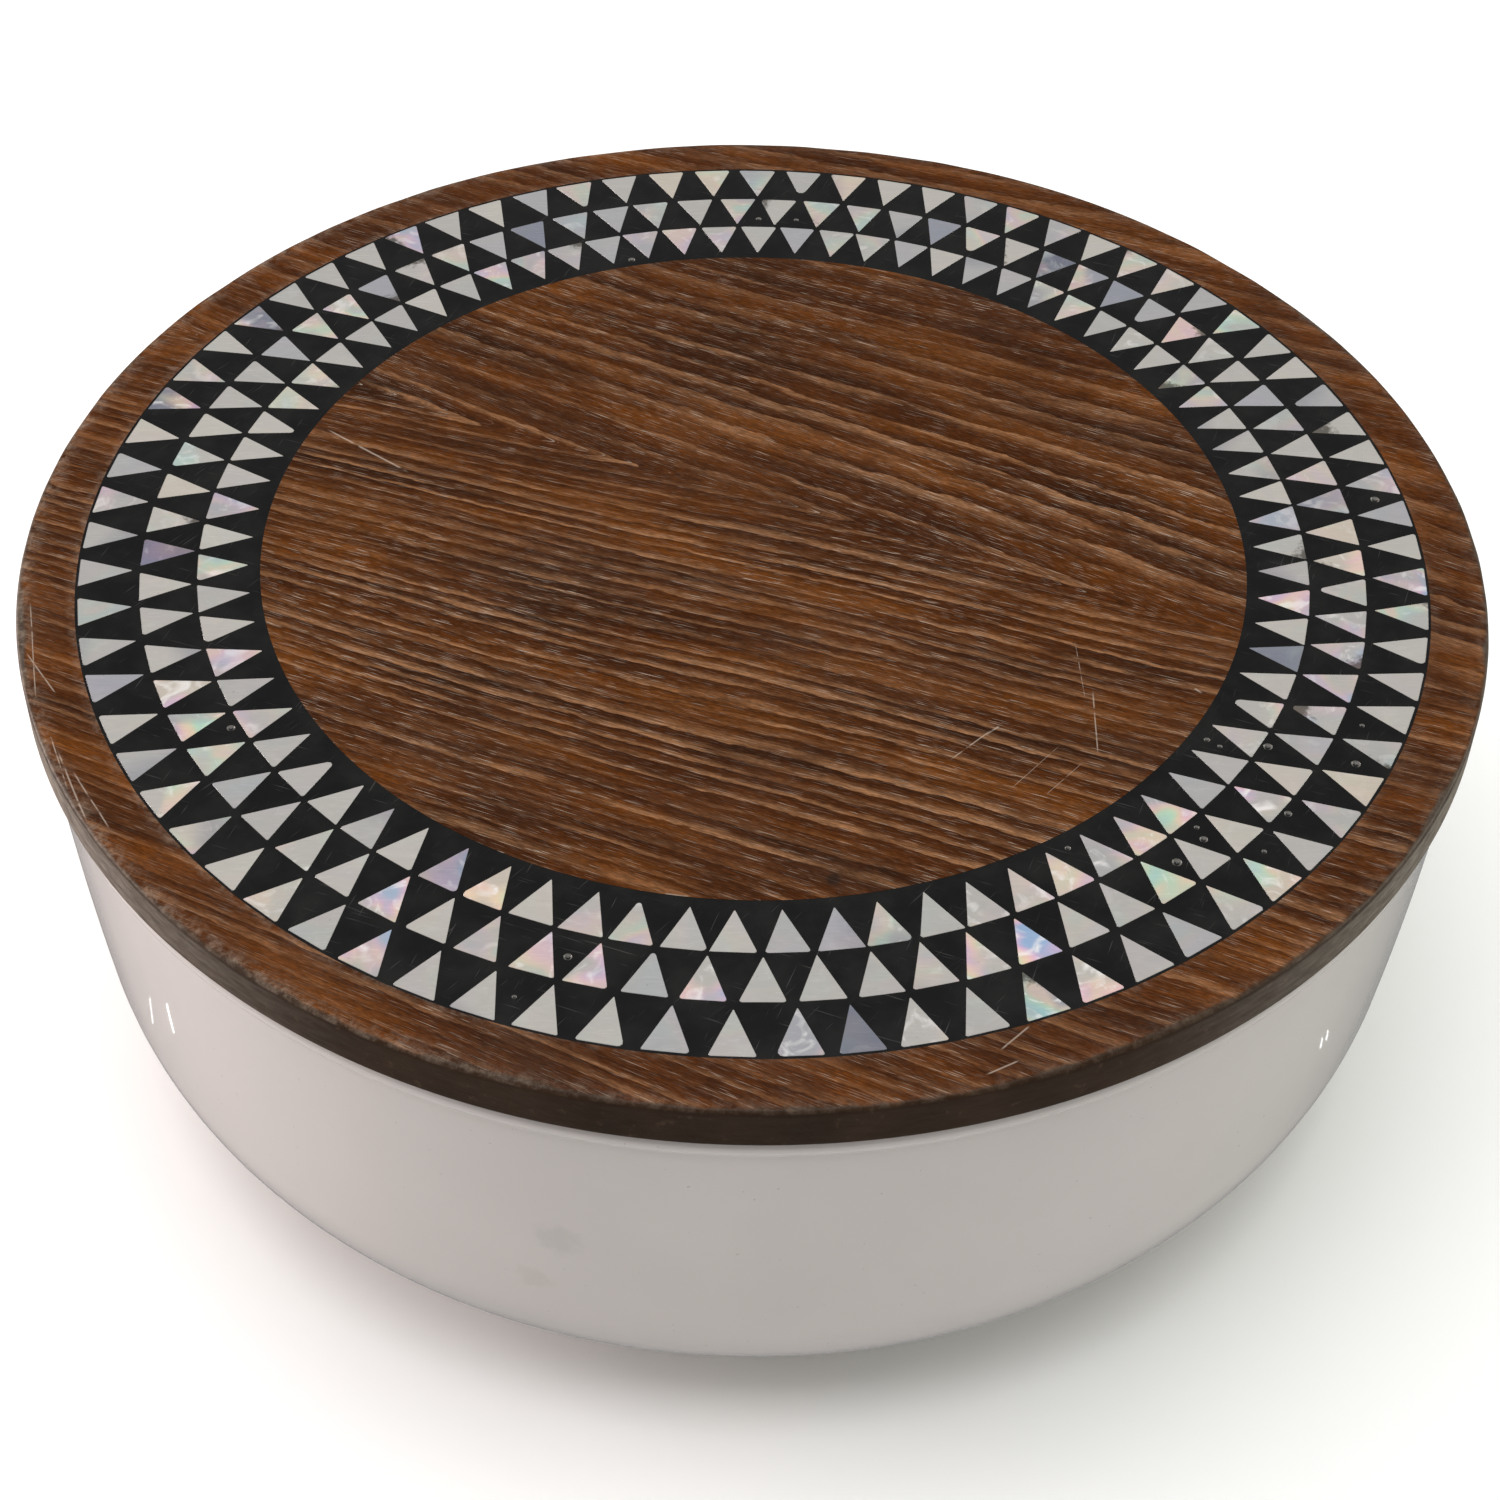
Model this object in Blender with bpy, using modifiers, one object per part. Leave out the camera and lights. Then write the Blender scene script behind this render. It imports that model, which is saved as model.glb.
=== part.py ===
"""A round lidded bowl for go stones.

A glazed porcelain bowl stands on a low foot ring and is closed by a flat wooden lid. The lid's
top carries a ring of black resin with three rows of mother-of-pearl triangles set flush in it,
and a glued disc under the lid drops into the mouth of the bowl. The lid lifts straight off.

Metres, +Z up. The origin is the centre of the foot ring, on the table.
"""

import math

import bmesh
import bpy
from mathutils import Matrix

# Driving dimensions
LID_RADIUS = 0.080
LID_THICKNESS = 0.0051
BOWL_HEIGHT = 0.0562
WALL = 0.0037
FOOT_HEIGHT = 0.0032
GAP = 0.0003  # between pieces that rest on, or are glued to, each other

# Bowl
LIP_RADIUS = 0.995 * LID_RADIUS
LIP_ROUNDING = 0.0012
NECK_RADIUS = LIP_RADIUS - 0.0007
NECK_DROP = 0.0026  # from the rim down to where the lip meets the wall
WALL_BULGE = 0.00025
CORNER_RADIUS = 0.27 * LID_RADIUS
CORNER_CENTRE = 0.695 * LID_RADIUS
FLOOR_THICKNESS = 0.0042
FOOT_RADIUS = 0.0495
FOOT_WIDTH = 0.0035
FOOT_ROUNDING = 0.0007
RECESS_RISE = 0.0006  # how far the underside rises from the foot ring to its middle

# Lid board and the disc glued under it
ARRIS = 0.0005
CHANNEL_DEPTH = 0.0020
PLUG_CLEARANCE = 0.0008
PLUG_THICKNESS = 0.0050
PLUG_ROUNDING = 0.0010

# Inlay, as shares of the lid's radius
CHANNEL_INNER = 0.675
CHANNEL_OUTER = 0.923
ROW_SPANS = {  # where the tips and the bases of a row's triangles lie, and the row's turn in pitches
    "shell_row_inner": (0.6880, 0.7600, 0.0),
    "shell_row_middle": (0.7655, 0.8370, 0.5),
    "shell_row_outer": (0.8440, 0.9155, 0.0),
}
TRIANGLES_PER_ROW = 77
TRIANGLE_BASE = 0.0595 * LID_RADIUS
SET_GAP = 0.00012  # between a triangle and the resin round it
INLAY_DROP = 0.00005  # from the wood's top down to the top of the inlay
BED_THICKNESS = 0.00120
BACKING_DROP = 0.00135  # from the lid's top down to the strip that joins a row from below
BACKING_THICKNESS = 0.00035

LATHE_STEPS = 64
SHARP_ANGLE = math.radians(40)
BACKING_OVERHANG = 0.0001  # of the strip past its triangles' bases
CUT_MARGIN = 0.0005

LID_TOP = BOWL_HEIGHT + GAP + LID_THICKNESS


def clear_scene():
    for obj in list(bpy.data.objects):
        bpy.data.objects.remove(obj, do_unlink=True)


def new_collection(name):
    collection = bpy.data.collections.new(name)
    bpy.context.scene.collection.children.link(collection)
    return collection


def material(name, colour, roughness, metallic=0.0):
    made = bpy.data.materials.new(name)
    made.use_nodes = True
    shader = made.node_tree.nodes["Principled BSDF"]
    shader.inputs["Base Color"].default_value = (*colour, 1.0)
    shader.inputs["Roughness"].default_value = roughness
    shader.inputs["Metallic"].default_value = metallic
    made.diffuse_color = (*colour, 1.0)
    return made


def arc(centre, radius, start, end, steps):
    """Points (r, z) on an arc, by angles in degrees, where 0 points outwards and 90 points up."""
    points = []
    for i in range(steps + 1):
        angle = math.radians(start + (end - start) * i / steps)
        points.append((centre[0] + radius * math.cos(angle), centre[1] + radius * math.sin(angle)))
    return points


def bulged(start, end, bulge, steps):
    """Points between two profile points, pushed outwards by a parabola, without the two ends."""
    points = []
    for i in range(1, steps):
        u = i / steps
        r = start[0] + (end[0] - start[0]) * u + 4 * bulge * u * (1 - u)
        points.append((r, start[1] + (end[1] - start[1]) * u))
    return points


def turned(name, profile, closed, collection):
    """A solid of revolution about Z: a profile of (r, z) points at +X, turned by a Screw modifier."""
    mesh = bpy.data.meshes.new(name)
    count = len(profile)
    edges = [(i, i + 1) for i in range(count - 1)]
    if closed:
        edges.append((count - 1, 0))
    mesh.from_pydata([(r, 0.0, z) for r, z in profile], edges, [])
    obj = bpy.data.objects.new(name, mesh)
    collection.objects.link(obj)
    screw = obj.modifiers.new("Turn", "SCREW")
    screw.axis = "Z"
    screw.angle = 2 * math.pi
    screw.steps = LATHE_STEPS
    screw.render_steps = LATHE_STEPS
    screw.use_merge_vertices = True
    screw.merge_threshold = 0.00001

    # The turned mesh takes the profile's place, so that its corners can be marked sharp.
    graph = bpy.context.evaluated_depsgraph_get()
    obj.data = bpy.data.meshes.new_from_object(obj.evaluated_get(graph), depsgraph=graph)
    obj.modifiers.clear()
    bpy.data.meshes.remove(mesh)
    obj.data.name = name
    obj.data.shade_smooth()
    obj.data.set_sharp_from_angle(angle=SHARP_ANGLE)
    return obj


def ring(name, inner, outer, low, high, collection):
    """A plain turned ring of rectangular section."""
    section = [(inner, low), (inner, high), (outer, high), (outer, low)]
    return turned(name, section, True, collection)


def finish(obj, look, parent=None):
    obj.data.materials.append(look)
    obj.parent = parent


def as_cutter(obj, collection):
    collection.objects.link(obj)
    obj.hide_render = True
    obj.display_type = "WIRE"


def combine(obj, other, operation):
    modifier = obj.modifiers.new(operation.title(), "BOOLEAN")
    modifier.operation = operation
    modifier.solver = "EXACT"
    modifier.object = other


def bowl_profile():
    """The bowl from the middle of its floor, over the rim and down its outer side to the foot."""
    floor = FOOT_HEIGHT + FLOOR_THICKNESS
    corner_height = FOOT_HEIGHT + CORNER_RADIUS
    inner_corner = CORNER_RADIUS - WALL
    rim_middle = BOWL_HEIGHT - LIP_ROUNDING

    # The wall runs straight from the neck and meets the corner's arc as a tangent.
    run, rise = NECK_RADIUS - CORNER_CENTRE, BOWL_HEIGHT - NECK_DROP - corner_height
    tangent = math.atan2(rise, run) - math.acos(CORNER_RADIUS / math.hypot(run, rise))
    tangent = math.degrees(tangent)
    neck = (NECK_RADIUS, BOWL_HEIGHT - NECK_DROP)
    outer_arc = arc((CORNER_CENTRE, corner_height), CORNER_RADIUS, tangent, -90, steps=7)
    inner_arc = arc((CORNER_CENTRE, floor + inner_corner), inner_corner, -90, tangent, steps=5)

    mouth = NECK_RADIUS - WALL
    rim_inner = (mouth + LIP_ROUNDING, rim_middle)
    rim_outer = (LIP_RADIUS - LIP_ROUNDING, rim_middle)
    lip_end = -math.degrees(math.acos((NECK_RADIUS - rim_outer[0]) / LIP_ROUNDING))

    profile = [(0.0, floor)]
    profile += inner_arc
    profile += [(mouth, neck[1])]
    profile += arc(rim_inner, LIP_ROUNDING, 180, 90, steps=2)
    profile += arc(rim_outer, LIP_ROUNDING, 90, lip_end, steps=4)
    profile += [neck]
    profile += bulged(neck, outer_arc[0], WALL_BULGE, steps=3)
    profile += outer_arc
    profile += foot_profile()
    return profile


def foot_profile():
    """The foot ring's section, from its outer root to the middle of the underside."""
    inner = FOOT_RADIUS - FOOT_WIDTH
    outer_edge = (FOOT_RADIUS - FOOT_ROUNDING, FOOT_ROUNDING)
    inner_edge = (inner + FOOT_ROUNDING, FOOT_ROUNDING)
    points = [(FOOT_RADIUS + FOOT_ROUNDING, FOOT_HEIGHT - FOOT_ROUNDING / 4)]
    points += arc(outer_edge, FOOT_ROUNDING, 0, -90, steps=2)
    points += arc(inner_edge, FOOT_ROUNDING, -90, -180, steps=2)
    points += [(inner, FOOT_HEIGHT - FOOT_ROUNDING), (inner - FOOT_ROUNDING, FOOT_HEIGHT)]
    points += [(0.0, FOOT_HEIGHT + RECESS_RISE)]
    return points


def lid_board_profile():
    low = BOWL_HEIGHT + GAP
    channel = LID_TOP - CHANNEL_DEPTH
    inner, outer = CHANNEL_INNER * LID_RADIUS, CHANNEL_OUTER * LID_RADIUS
    profile = [(0.0, LID_TOP), (inner, LID_TOP), (inner, channel), (outer, channel), (outer, LID_TOP)]
    profile += arc((LID_RADIUS - ARRIS, LID_TOP - ARRIS), ARRIS, 90, 0, steps=2)
    profile += arc((LID_RADIUS - ARRIS, low + ARRIS), ARRIS, 0, -90, steps=2)
    profile += [(0.0, low)]
    return profile


def lid_plug_profile():
    high = BOWL_HEIGHT
    low = high - PLUG_THICKNESS
    radius = NECK_RADIUS - WALL - PLUG_CLEARANCE
    profile = [(0.0, high), (radius, high)]
    profile += arc((radius - PLUG_ROUNDING, low + PLUG_ROUNDING), PLUG_ROUNDING, 0, -90, steps=2)
    profile += [(0.0, low)]
    return profile


def triangles(name, spans, base, low, high):
    """Rows of triangles as loose prisms in one mesh, tips towards the middle of the lid."""
    pitch = 2 * math.pi / TRIANGLES_PER_ROW
    inwards = Matrix.Rotation(math.radians(90), 4, "Z")
    bm = bmesh.new()
    for tip, foot, turn in spans:
        height = foot - tip
        # A three-sided cone of radius 1 is sqrt(3) wide and 1.5 tall, a third of that on the base's side.
        shape = Matrix.Diagonal((base / math.sqrt(3), height / 1.5, 1.0, 1.0))
        middle = Matrix.Translation((foot - height / 3, 0.0, (low + high) / 2))
        for i in range(TRIANGLES_PER_ROW):
            place = Matrix.Rotation((i + turn) * pitch, 4, "Z") @ middle @ inwards @ shape
            bmesh.ops.create_cone(
                bm, cap_ends=True, segments=3, radius1=1.0, radius2=1.0, depth=high - low, matrix=place
            )
    mesh = bpy.data.meshes.new(name)
    bm.to_mesh(mesh)
    bm.free()
    return bpy.data.objects.new(name, mesh)


def row_span(name):
    tip, foot, turn = ROW_SPANS[name]
    return tip * LID_RADIUS, foot * LID_RADIUS, turn


def shell_row(name, parts, helpers):
    """One row: its triangles, each a little smaller than its pocket, on a thin backing strip."""
    tip, foot, turn = row_span(name)
    height = foot - tip
    inradius = TRIANGLE_BASE * height / (TRIANGLE_BASE + math.hypot(TRIANGLE_BASE, 2 * height))
    share = 1 - SET_GAP / inradius
    backing_top = LID_TOP - BACKING_DROP
    backing_low = backing_top - BACKING_THICKNESS
    span = (foot - SET_GAP - height * share, foot - SET_GAP, turn)
    middle_of_backing = (backing_low + backing_top) / 2
    pieces = triangles(
        name + "_pieces", [span], TRIANGLE_BASE * share, middle_of_backing, LID_TOP - INLAY_DROP
    )
    as_cutter(pieces, helpers)
    row = ring(name, tip, foot + BACKING_OVERHANG, backing_low, backing_top, parts)
    combine(row, pieces, "UNION")
    return row


def inlay_bed(parts, helpers):
    """The black resin ring, with a pocket right through it for each triangle."""
    high = LID_TOP - INLAY_DROP
    low = high - BED_THICKNESS
    inner, outer = CHANNEL_INNER * LID_RADIUS + GAP, CHANNEL_OUTER * LID_RADIUS - GAP
    bed = ring("inlay_bed", inner, outer, low, high, parts)
    spans = [row_span(name) for name in ROW_SPANS]
    pockets = triangles("inlay_pockets", spans, TRIANGLE_BASE, low - CUT_MARGIN, high + CUT_MARGIN)
    as_cutter(pockets, helpers)
    combine(bed, pockets, "DIFFERENCE")
    return bed


def main():
    clear_scene()
    parts = new_collection("go_stone_bowl")
    helpers = new_collection("cutters")

    porcelain = material("white_glaze", (0.78, 0.76, 0.73), 0.08)
    wood = material("brown_wood", (0.13, 0.055, 0.025), 0.42)
    dark_wood = material("dark_wood", (0.05, 0.026, 0.015), 0.5)
    resin = material("black_resin", (0.008, 0.008, 0.009), 0.25)
    shell = material("mother_of_pearl", (0.62, 0.60, 0.57), 0.18)

    lid = bpy.data.objects.new("lid", None)  # stands on the axis that the lid slides along
    parts.objects.link(lid)

    finish(turned("bowl", bowl_profile(), False, parts), porcelain)
    finish(turned("lid_board", lid_board_profile(), False, parts), wood, lid)
    finish(turned("lid_plug", lid_plug_profile(), False, parts), dark_wood, lid)
    finish(inlay_bed(parts, helpers), resin, lid)
    for name in ROW_SPANS:
        finish(shell_row(name, parts, helpers), shell, lid)


main()
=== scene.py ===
"""The finished look of the go stone bowl: porcelain, wood, resin and mother-of-pearl.

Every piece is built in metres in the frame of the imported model, stands for one of its nodes and
rides on that node's body. The lid's pieces share one set of shares of the lid's radius.
"""

import math
import random

import bmesh
import bpy
from mathutils import Euler, Matrix, Quaternion, Vector, noise


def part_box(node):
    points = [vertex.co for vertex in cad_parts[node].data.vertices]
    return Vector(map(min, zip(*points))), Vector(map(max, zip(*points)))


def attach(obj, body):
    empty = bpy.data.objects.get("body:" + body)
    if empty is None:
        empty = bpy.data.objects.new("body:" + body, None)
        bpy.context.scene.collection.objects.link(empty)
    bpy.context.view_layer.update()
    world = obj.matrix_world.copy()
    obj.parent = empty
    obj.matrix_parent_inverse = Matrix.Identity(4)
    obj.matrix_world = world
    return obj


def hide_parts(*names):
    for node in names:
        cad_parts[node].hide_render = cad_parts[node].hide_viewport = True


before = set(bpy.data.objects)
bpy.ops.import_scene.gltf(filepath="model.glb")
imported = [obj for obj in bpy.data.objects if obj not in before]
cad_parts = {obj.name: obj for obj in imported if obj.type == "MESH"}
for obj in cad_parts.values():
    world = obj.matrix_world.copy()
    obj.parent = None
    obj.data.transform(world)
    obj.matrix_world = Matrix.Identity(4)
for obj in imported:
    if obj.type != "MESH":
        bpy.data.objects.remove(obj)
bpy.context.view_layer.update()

# Places read from the frame
LID_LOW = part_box("lid_board")[0].z
LID_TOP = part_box("lid_board")[1].z
LID_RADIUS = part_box("lid_board")[1].x
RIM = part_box("bowl")[1].z
LIP_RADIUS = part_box("bowl")[1].x
PLUG_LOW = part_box("lid_plug")[0].z
PLUG_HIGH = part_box("lid_plug")[1].z
PLUG_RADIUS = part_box("lid_plug")[1].x
MM = 0.001
SEED = 361  # of every random draw

# Bowl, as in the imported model
WALL = 3.7 * MM
FOOT_HEIGHT = 3.2 * MM
LIP_ROUNDING = 1.2 * MM
NECK_RADIUS = LIP_RADIUS - 0.7 * MM
NECK_DROP = 2.6 * MM
WALL_BULGE = 0.25 * MM
CORNER_RADIUS = 0.27 * LID_RADIUS
CORNER_CENTRE = 0.695 * LID_RADIUS
FLOOR_THICKNESS = 4.2 * MM
FOOT_RADIUS = 49.5 * MM
FOOT_WIDTH = 3.5 * MM
FOOT_ROUNDING = 0.7 * MM
RECESS_RISE = 0.6 * MM
HOLLOW_DEPTH = 0.02 * MM  # of the small hollow between lip and wall
HOLLOW_PLACE = 0.85  # shares of the neck's drop
BOWL_WOBBLE = 0.05 * MM
BOWL_WAVES = 9.0  # in a turn
LEVEL_FOOT = 0.5 * MM  # heights that were ground level, at the foot and at the rim
LEVEL_RIM = 0.3 * MM
BOWL_STEPS = 288

# Lid
ARRIS = 0.45 * MM
ARRIS_VARIES = 0.25 * MM
CHANNEL_INNER = 0.6755 * LID_RADIUS
CHANNEL_OUTER = 0.9225 * LID_RADIUS
CHANNEL_DEPTH = 2.0 * MM
LID_STEPS = 360
PLUG_ROUNDING = 1.0 * MM
GROOVE_RADIUS = 1.2 * MM  # of the turned groove under the disc
GROOVE_PLACE = 9 * MM  # in from the disc's edge
RESIN_DROP = 0.02 * MM
RESIN_DEPTH = 1.25 * MM
SHARP_ANGLE = math.radians(35)

# Shell triangles: a row's tips and bases, as shares of the lid's radius, and its turn in pitches
ROWS = {
    "shell_row_inner": (0.6885, 0.7605, 0.0),
    "shell_row_middle": (0.7650, 0.8375, 0.5),
    "shell_row_outer": (0.8450, 0.9195, 0.0),
}
TRIANGLES_PER_ROW = 77
TRIANGLE_BASE = 0.0612 * LID_RADIUS
WIDEST_SHARE_OF_PITCH = 0.975
TRIANGLE_DEPTH = 1.1 * MM
TRIANGLE_BEVEL = 0.05 * MM
FIRST_TRIANGLE = math.radians(-90.9)
SPREAD = 0.65  # pitches by which the triangles crowd together at the back of the lid
SPREAD_TOWARDS = math.radians(-70)
CHIPPED_SHARE = 0.12
FADED_SHARE = 0.12
SMOKY_SHARE = 0.13
NEVER_FADED, NEVER_SMOKY = -2.0, -9.0  # starts so low that nothing shows
BUBBLES = 18
BUBBLY_SHARE = 0.45
BUBBLY_GAPS = (7, 18)  # the gaps between triangles, at the front right, that this share lies in
BUBBLE_RISE = 0.55  # radii from the resin's top up to a bubble's centre
BUBBLE_SPACING = 1.5 * MM


# ---------------------------------------------------------------- node trees


class Look:
    """A material's node tree, written as calls. A value is a number, a colour or a node's output."""

    def __init__(self, name):
        self.material = bpy.data.materials.new(name)
        self.material.use_nodes = True
        self.tree = self.material.node_tree
        self.shader = self.tree.nodes["Principled BSDF"]
        coordinates = self.tree.nodes.new("ShaderNodeTexCoord")
        self.position = coordinates.outputs["Object"]
        split = self.node("ShaderNodeSeparateXYZ", Vector=self.position)
        self.x, self.y, self.z = split.outputs

    def node(self, kind, **inputs):
        made = self.tree.nodes.new(kind)
        for name, value in inputs.items():
            self.put(made.inputs[name.replace("_", " ")], value)
        return made

    def put(self, socket, value):
        if isinstance(value, bpy.types.NodeSocket):
            self.tree.links.new(value, socket)
        elif isinstance(value, tuple) and len(value) == 3 and socket.type == "RGBA":
            socket.default_value = (*value, 1.0)
        else:
            socket.default_value = value

    def math(self, operation, a, b=0.0, c=0.0):
        made = self.tree.nodes.new("ShaderNodeMath")
        made.operation = operation
        for socket, value in zip(made.inputs, (a, b, c)):
            self.put(socket, value)
        return made.outputs[0]

    def times(self, a, b):
        return self.math("MULTIPLY", a, b)

    def plus(self, a, b):
        return self.math("ADD", a, b)

    def minus(self, a, b):
        return self.math("SUBTRACT", a, b)

    def swing(self, value, reach):
        """Noise, which is 0 to 1, turned into a shift to both sides."""
        return self.times(self.minus(value, 0.5), reach)

    def vector(self, x, y, z=0.0):
        return self.node("ShaderNodeCombineXYZ", X=x, Y=y, Z=z).outputs[0]

    def moved(self, at, shift):
        made = self.tree.nodes.new("ShaderNodeVectorMath")
        made.operation = "ADD"
        self.put(made.inputs[0], at)
        self.put(made.inputs[1], shift)
        return made.outputs[0]

    def noise(self, at, scale, detail=2.0, roughness=0.5, distortion=0.0):
        made = self.node(
            "ShaderNodeTexNoise",
            Vector=at,
            Scale=scale,
            Detail=detail,
            Roughness=roughness,
            Distortion=distortion,
        )
        return made.outputs["Fac"]

    def step(self, value, low, high, start=0.0, end=1.0):
        """Rises smoothly from start to end as value goes from low to high."""
        made = self.tree.nodes.new("ShaderNodeMapRange")
        made.interpolation_type = "SMOOTHSTEP"
        names = ("Value", "From Min", "From Max", "To Min", "To Max")
        for name, wanted in zip(names, (value, low, high, start, end)):
            self.put(made.inputs[name], wanted)
        return made.outputs["Result"]

    def ramp(self, value, stops):
        made = self.node("ShaderNodeValToRGB", Fac=value)
        elements = made.color_ramp.elements
        while len(elements) < len(stops):
            elements.new(0.5)
        for element, (place, colour) in zip(elements, stops):
            element.position = place
            element.color = (*colour, 1.0)
        return made.outputs["Color"]

    def mix(self, share, a, b, blend="MIX"):
        made = self.tree.nodes.new("ShaderNodeMix")
        made.data_type = "RGBA"
        made.blend_type = blend
        made.clamp_factor = True
        self.put(made.inputs[0], share)
        self.put(made.inputs[6], a)
        self.put(made.inputs[7], b)
        return made.outputs[2]

    def tinted(self, colour, where, share, tint):
        """A colour moved towards a tint, by the share at places where `where` is 1."""
        return self.mix(self.times(where, share), colour, tint)

    def scaled(self, colour, share):
        """A colour made darker or lighter by a number."""
        grey = self.vector(share, share, share)
        return self.mix(1.0, colour, grey, "MULTIPLY")

    def radius(self):
        return self.math("SQRT", self.plus(self.times(self.x, self.x), self.times(self.y, self.y)))

    def attribute(self, name, output):
        made = self.tree.nodes.new("ShaderNodeAttribute")
        made.attribute_name = name
        return made.outputs[output]

    def line(self, start, end, width):
        """1 on a scratch between two points of the lid's top, given as shares of its radius."""
        (x0, y0), (x1, y1) = start, end
        length = math.hypot(x1 - x0, y1 - y0)
        along_x, along_y = (x1 - x0) / length, (y1 - y0) / length
        x = self.math("MULTIPLY_ADD", self.x, 1 / LID_RADIUS, -(x0 + x1) / 2)
        y = self.math("MULTIPLY_ADD", self.y, 1 / LID_RADIUS, -(y0 + y1) / 2)
        along = self.plus(self.times(x, along_x), self.times(y, along_y))
        across = self.minus(self.times(y, along_x), self.times(x, along_y))
        bend = self.swing(self.noise(self.position, 90.0), 2 * width)
        near = self.step(self.math("ABSOLUTE", self.plus(across, bend)), 0.2 * width, width, 1.0, 0.0)
        inside = self.step(self.math("ABSOLUTE", along), 0.35 * length, 0.5 * length, 1.0, 0.0)
        gaps = self.step(self.noise(self.position, 600.0), 0.34, 0.50)
        return self.times(self.times(near, inside), gaps)

    def spot(self, centre, size):
        """1 at a place given as shares of the lid's radius, falling unevenly to 0."""
        made = self.tree.nodes.new("ShaderNodeVectorMath")
        made.operation = "DISTANCE"
        self.put(made.inputs[0], self.position)
        self.put(made.inputs[1], tuple(LID_RADIUS * share for share in centre))
        ragged = self.swing(self.noise(self.position, 700.0, 3.0), 1.2 * size)
        return self.step(self.plus(made.outputs["Value"], ragged), 0.3 * size, size, 1.0, 0.0)

    def most(self, values):
        found = values[0]
        for value in values[1:]:
            found = self.math("MAXIMUM", found, value)
        return found

    def finish(self, colour, roughness, height=None, bump=0.0, depth=0.1 * MM, **constants):
        self.put(self.shader.inputs["Base Color"], colour)
        self.put(self.shader.inputs["Roughness"], roughness)
        if height is not None:
            made = self.node("ShaderNodeBump", Height=height, Strength=bump, Distance=depth)
            self.put(self.shader.inputs["Normal"], made.outputs["Normal"])
        for name, value in constants.items():
            self.put(self.shader.inputs[name.replace("_", " ")], value)
        return self.material


def srgb(red, green, blue):
    """A colour given as on a screen, 0 to 255, as linear light."""
    linear = []
    for channel in (red, green, blue):
        share = channel / 255
        linear.append(share / 12.92 if share <= 0.04045 else ((share + 0.055) / 1.055) ** 2.4)
    return tuple(linear)


# ---------------------------------------------------------------- materials

ALBEDO = 0.78  # scales the wood's and the shell's colours to the light of this stage

# The board's growth rings: two families of lines that meet in points, as on a flat-sawn board.
UPPER_SLOPE = 0.564
UPPER_FAN = 3.0  # per metre: the upper lines draw together towards the left
UPPER_PITCH = 3.3 * MM
LOWER_SLOPE = 0.315
LOWER_FAN = 2.0
LOWER_PITCH = 2.0 * MM
POINTS_LINE = 6.4  # pitches: moves the line of points towards the back of the lid
POINTS_AT = 16 * MM  # the same for the fibres, which are not measured in rings
MIDDLE_SLOPE = 0.40
RING_SWAYS = (  # scales along and across the fibres, per metre, and the reach in rings
    (85.0, 190.0, 0.42),
    (210.0, 300.0, 0.36),
    (520.0, 700.0, 0.16),
)


def rings(look):
    """(along, across, ring): metres along and across the fibres, and an unsteady count of the rings."""
    along = look.math("MULTIPLY_ADD", look.y, -MIDDLE_SLOPE, look.x)
    sideways = look.math("MULTIPLY_ADD", look.x, MIDDLE_SLOPE, look.y)

    def sway(along_scale, across_scale, reach):
        at = look.vector(look.times(along, along_scale), look.times(sideways, across_scale), along_scale)
        return look.swing(look.noise(at, 1.0, 1.0), reach)

    def family(slope, fan):
        spread = look.math("MULTIPLY_ADD", look.x, fan, 1.0)
        return look.math("DIVIDE", look.math("MULTIPLY_ADD", look.x, slope, y), spread)

    below = look.minus(look.z, LID_TOP)
    y = look.plus(look.math("MULTIPLY_ADD", below, 0.5, look.y), sway(11.0, 24.0, 7 * MM))
    upper, lower = family(UPPER_SLOPE, UPPER_FAN), family(LOWER_SLOPE, LOWER_FAN)
    across = look.math("SMOOTH_MAX", upper, look.minus(POINTS_AT, lower), 1 * MM)
    count = look.math("MULTIPLY_ADD", lower, -1 / LOWER_PITCH, POINTS_LINE)
    ring = look.math("SMOOTH_MAX", look.times(upper, 1 / UPPER_PITCH), count, 0.6)
    uneven = look.noise(look.vector(look.times(ring, 0.38), look.times(along, 6.0), 2.0), 1.0, 1.0)
    ring = look.math("MULTIPLY_ADD", look.minus(uneven, 0.5), 1.4, ring)
    for along_scale, across_scale, reach in RING_SWAYS:
        ring = look.plus(ring, sway(along_scale, across_scale, reach))
    return along, across, ring


def streaks(look, along, across, width, length, seed, detail=2.0, roughness=0.5):
    """Noise drawn out along the fibres, by the usual width and length of a streak."""
    at = look.vector(look.times(along, 1 / length), look.times(across, 1 / width), seed)
    return look.noise(at, 1.0, detail, roughness)


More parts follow.
